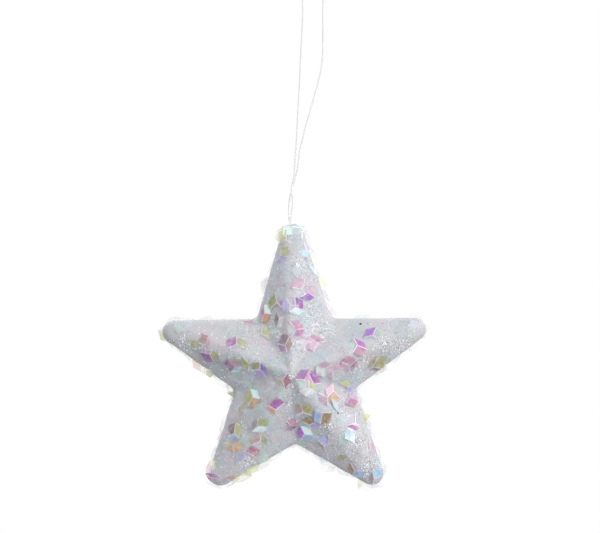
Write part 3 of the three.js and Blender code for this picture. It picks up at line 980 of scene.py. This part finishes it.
def flake_density(x, z):
    """How likely a flake is to have stuck there. 1 or more is sure."""
    right, up = x - star_middle.x, z - star_middle.z
    reach = math.hypot(right, up) / TOP_ARM_REACH
    upper_side = up > UPPER_SIDE_RISE and abs(right) > ARM_START
    return (UPPER_SIDE_SHARE if upper_side else 1.0) * (MIDDLE_DENSITY - DENSITY_FALL * reach)


def crowded(point, spacing):
    """Whether a flake lies nearer to a point than the spacing."""
    return any((point - seat).length < spacing for seat in flake_seats)


PALE_SETS = [
    ("clear", "haze_pink", "haze_blue"),
    ("haze_mint", "clear", "haze_pink"),
    ("clear", "haze_blue", "clear"),
    ("clear", "clear", "haze_blue"),
    ("haze_pink", "clear", "clear"),
    ("haze_mint", "haze_blue", "clear"),
]
REAR_VIVID_SHARE = 0.3


def loose_tints(point):
    """Tints for a flake at a point: pale ones, and now and then vivid ones on the rear."""
    vivid = point.y > RIM_DEPTH and dice.random() < REAR_VIVID_SHARE
    return dice.sample(dice.choice(VIVID_SETS if vivid else PALE_SETS), 3)


SCATTERED_FLAKES = {"front": 70, "rear": 120}
LEAST_WIDTH = 0.6  # of a whole flake's, for the most crumpled one
LEAST_SPACING = 1.15 * FLAKE_RADIUS
KNOT_CLEARANCE = 6 * MM
pressed = pressed_places()
for face_name, face_sign in FACE_SIGNS.items():
    bm = bmesh.new()
    if face_name == "front":
        for right_mm, up_mm, angle, *tints in SEEN_FLAKES:
            point, normal = seen_point(right_mm, up_mm)
            width = dice.uniform(LEAST_WIDTH, 1)
            add_flake(bm, lying_place(point, normal, picture_way(angle), sunk=0), tints, width)
            flake_seats.append(point)
    for seat, normal, towards in pressed:
        if seat.y * face_sign < 0 or crowded(seat, OVERLAP_REACH):
            continue
        add_flake(bm, turned_place(seat, normal, towards), loose_tints(seat))
        flake_seats.append(seat)
    laid = 0
    while laid < SCATTERED_FLAKES[face_name]:
        x = dice.uniform(coat_low.x, coat_high.x)
        z = dice.uniform(coat_low.z, coat_high.z)
        point, normal = on_coat(x, z, face_sign)
        if point is None or dice.random() > flake_density(x, z):
            continue
        if from_thread_line(point) < KNOT_CLEARANCE and point.z > star_middle.z + TOP_ARM_REACH / 2:
            continue
        if crowded(point, LEAST_SPACING):
            continue
        tints = loose_tints(point)
        add_flake(bm, lying_place(point, normal, picture_way(dice.uniform(0, 360))), tints)
        flake_seats.append(point)
        laid += 1
    film_piece(f"loose_flakes_{face_name}", bm)

# Edge flakes
# More of the same film, held in the glue by one corner, so that it stands out past the star's outline. It
# shows as thin yellowish, pinkish and white slips against the white ground.

# Each one seen clearly: right of the star's middle and above it in the picture, in mm, and its tints.
SEEN_EDGES = [
    (-19.5, -41.9, "pale_lime", "lime", "edge_lime"), (-15.5, -38.5, "edge_lime", "pale_lime", "clear"),
    (29.4, -4, "pale_lime", "edge_lime", "clear"), (-33.6, -0.8, "pale_lime", "edge_lime", "clear"),
    (46, 8.4, "edge_pink", "edge_white", "clear"), (-10.5, 33, "edge_lime", "clear", "edge_white"),
    (9.5, 33, "edge_lime", "edge_white", "clear"), (8, 43, "edge_white", "edge_lime", "clear"),
    (-6.5, 51.9, "pale_lime", "clear", "edge_lime"), (-23.5, -7, "lime", "edge_lime", "clear"),
    (26.5, -20, "lime", "edge_lime", "clear"), (27, -44, "edge_white", "edge_lime", "clear"),
    (-31, -38, "edge_pink", "clear", "edge_lime"), (-34.7, 4.4, "brown", "orange", "clear"),
]
EDGE_FLAKES = 110
EDGE_SETS = [
    ("edge_lime", "clear", "clear"),
    ("edge_lime", "edge_white", "clear"),
    ("clear", "edge_pink", "clear"),
    ("edge_white", "clear", "haze_blue"),
]
WELL_OUTSIDE = 1.5  # of the top arm's reach
EDGE_DEPTH_MM = 3  # before and behind the star's middle plane
EDGE_KNOT_CLEARANCE = 3 * MM
UPPER_EDGE_SHARE = 0.2  # how many stick to the upper sides of the side arms, which are nearly bare
FACING_UP = 0.6
LEAST_ASIDE = 0.1
EDGE_TURN = 0.5
EDGE_TILT = 0.3
EDGE_SEAT = (-1.0, -0.4)  # from the coat to a flake's seat, in flake radii
SEEN_EDGE_SEAT = 0.15  # how deep a seen flake's seat lies, in flake radii
SEEN_EDGE_TILT = (0.1, 0.5)

bm = bmesh.new()
laid = 0
while laid < EDGE_FLAKES:
    angle = dice.uniform(0, math.tau)
    out = Vector((math.cos(angle), 0, math.sin(angle)))
    depth = dice.uniform(-EDGE_DEPTH_MM, EDGE_DEPTH_MM) * MM
    start = star_middle + out * TOP_ARM_REACH * WELL_OUTSIDE + Vector((0, depth, 0))
    point, normal = coat_surface.ray_cast(start, -out)[:2]
    if point is None or (from_thread_line(point) < EDGE_KNOT_CLEARANCE and point.z > star_middle.z):
        continue
    upper_side = normal.z > FACING_UP and abs(point.x - star_middle.x) > ARM_START
    if upper_side and dice.random() > UPPER_EDGE_SHARE:
        continue
    laid += 1
    side = Vector((0, dice.choice((-1, 1)), 0))
    towards = normal + Vector([dice.gauss(0, EDGE_TURN) for _ in range(3)])
    aside = side * dice.uniform(LEAST_ASIDE, 1)
    facing = aside + normal * dice.uniform(0, 1) + out.cross(side) * dice.gauss(0, EDGE_TILT)
    seat = point + normal * FLAKE_RADIUS * dice.uniform(*EDGE_SEAT)
    place = turned_place(seat, facing.normalized(), towards)
    add_flake(bm, place, dice.sample(dice.choice(EDGE_SETS), 3))
for right_mm, up_mm, *tints in SEEN_EDGES:
    point, normal = coat_surface.find_nearest(picture_point(right_mm, up_mm))[:2]
    facing = (view_back + normal * dice.uniform(*SEEN_EDGE_TILT)).normalized()
    towards = picture_way(dice.uniform(0, 360))
    seat = point - normal * FLAKE_RADIUS * SEEN_EDGE_SEAT
    add_flake(bm, turned_place(seat, facing, towards), tints)
film_piece("edge_flakes", bm)

# Floor, backdrop and light
# A plain white floor under a world that the camera sees white, and soft studio light: one large box low on
# the right, a weaker one high on the left, and two behind the star that brighten its rims.
FLOOR_LEVEL = -0.30
SWEEP_WIDTH = 6.0
WHITE = (1, 1, 1, 1)


def sweep_material():
    """A flat matt floor that the camera sees pure white and that other rays see as pale grey paper."""
    material = new_material("white sweep")
    paper = add_node(material, "ShaderNodeBsdfDiffuse", inputs={"Color": linear("#B4B4B4")})
    glow = add_node(material, "ShaderNodeEmission", inputs={"Color": WHITE, "Strength": 1.0})
    seen_straight = add_node(material, "ShaderNodeLightPath").outputs["Is Camera Ray"]
    either = add_node(
        material,
        "ShaderNodeMixShader",
        inputs={0: seen_straight, 1: paper.outputs["BSDF"], 2: glow.outputs["Emission"]},
    )
    return finish_material(material, either.outputs["Shader"])


bm = bmesh.new()
bmesh.ops.create_grid(bm, x_segments=1, y_segments=1, size=SWEEP_WIDTH)
bmesh.ops.translate(bm, verts=bm.verts, vec=(0, 0, FLOOR_LEVEL))
floor = new_piece("floor", mesh_from(bm, "floor"), sweep_material())

SOFTBOX_SIZE = 0.8
KEY_POWER = 8.1  # watts, as the others are
FILL_POWER = 3.9
RIM_POWER = 6
WORLD_GLOW = 0.26


def softbox(name, place, power):
    """A soft square light that faces the star, so many metres from the star's middle."""
    light = bpy.data.lights.new(name, "AREA")
    light.size = SOFTBOX_SIZE
    light.energy = power
    box = bpy.data.objects.new(name, light)
    bpy.context.collection.objects.link(box)
    box.location = star_middle + Vector(place)
    box.rotation_euler = (star_middle - box.location).to_track_quat("-Z", "Y").to_euler()


softbox("key_light", (0.84, -0.8, 0.38), KEY_POWER)
softbox("fill_light", (-0.6, -0.55, 1.0), FILL_POWER)
softbox("rim_light_right", (0.85, 0.8, 0.6), RIM_POWER)
softbox("rim_light_left", (-0.75, 0.8, 0.8), RIM_POWER)

world = bpy.data.worlds.new("studio")
bpy.context.scene.world = world
world.use_nodes = True
glow = world.node_tree.nodes["Background"]
glow.inputs["Color"].default_value = WHITE
glow.inputs["Strength"].default_value = WORLD_GLOW
seen = add_node(world, "ShaderNodeBackground", inputs={"Color": WHITE})
seen_straight = add_node(world, "ShaderNodeLightPath").outputs["Is Camera Ray"]
either = add_node(
    world,
    "ShaderNodeMixShader",
    inputs={0: seen_straight, 1: glow.outputs["Background"], 2: seen.outputs["Background"]},
)
world.node_tree.links.new(either.outputs["Shader"], world.node_tree.nodes["World Output"].inputs["Surface"])
bpy.context.scene.view_settings.view_transform = "Standard"
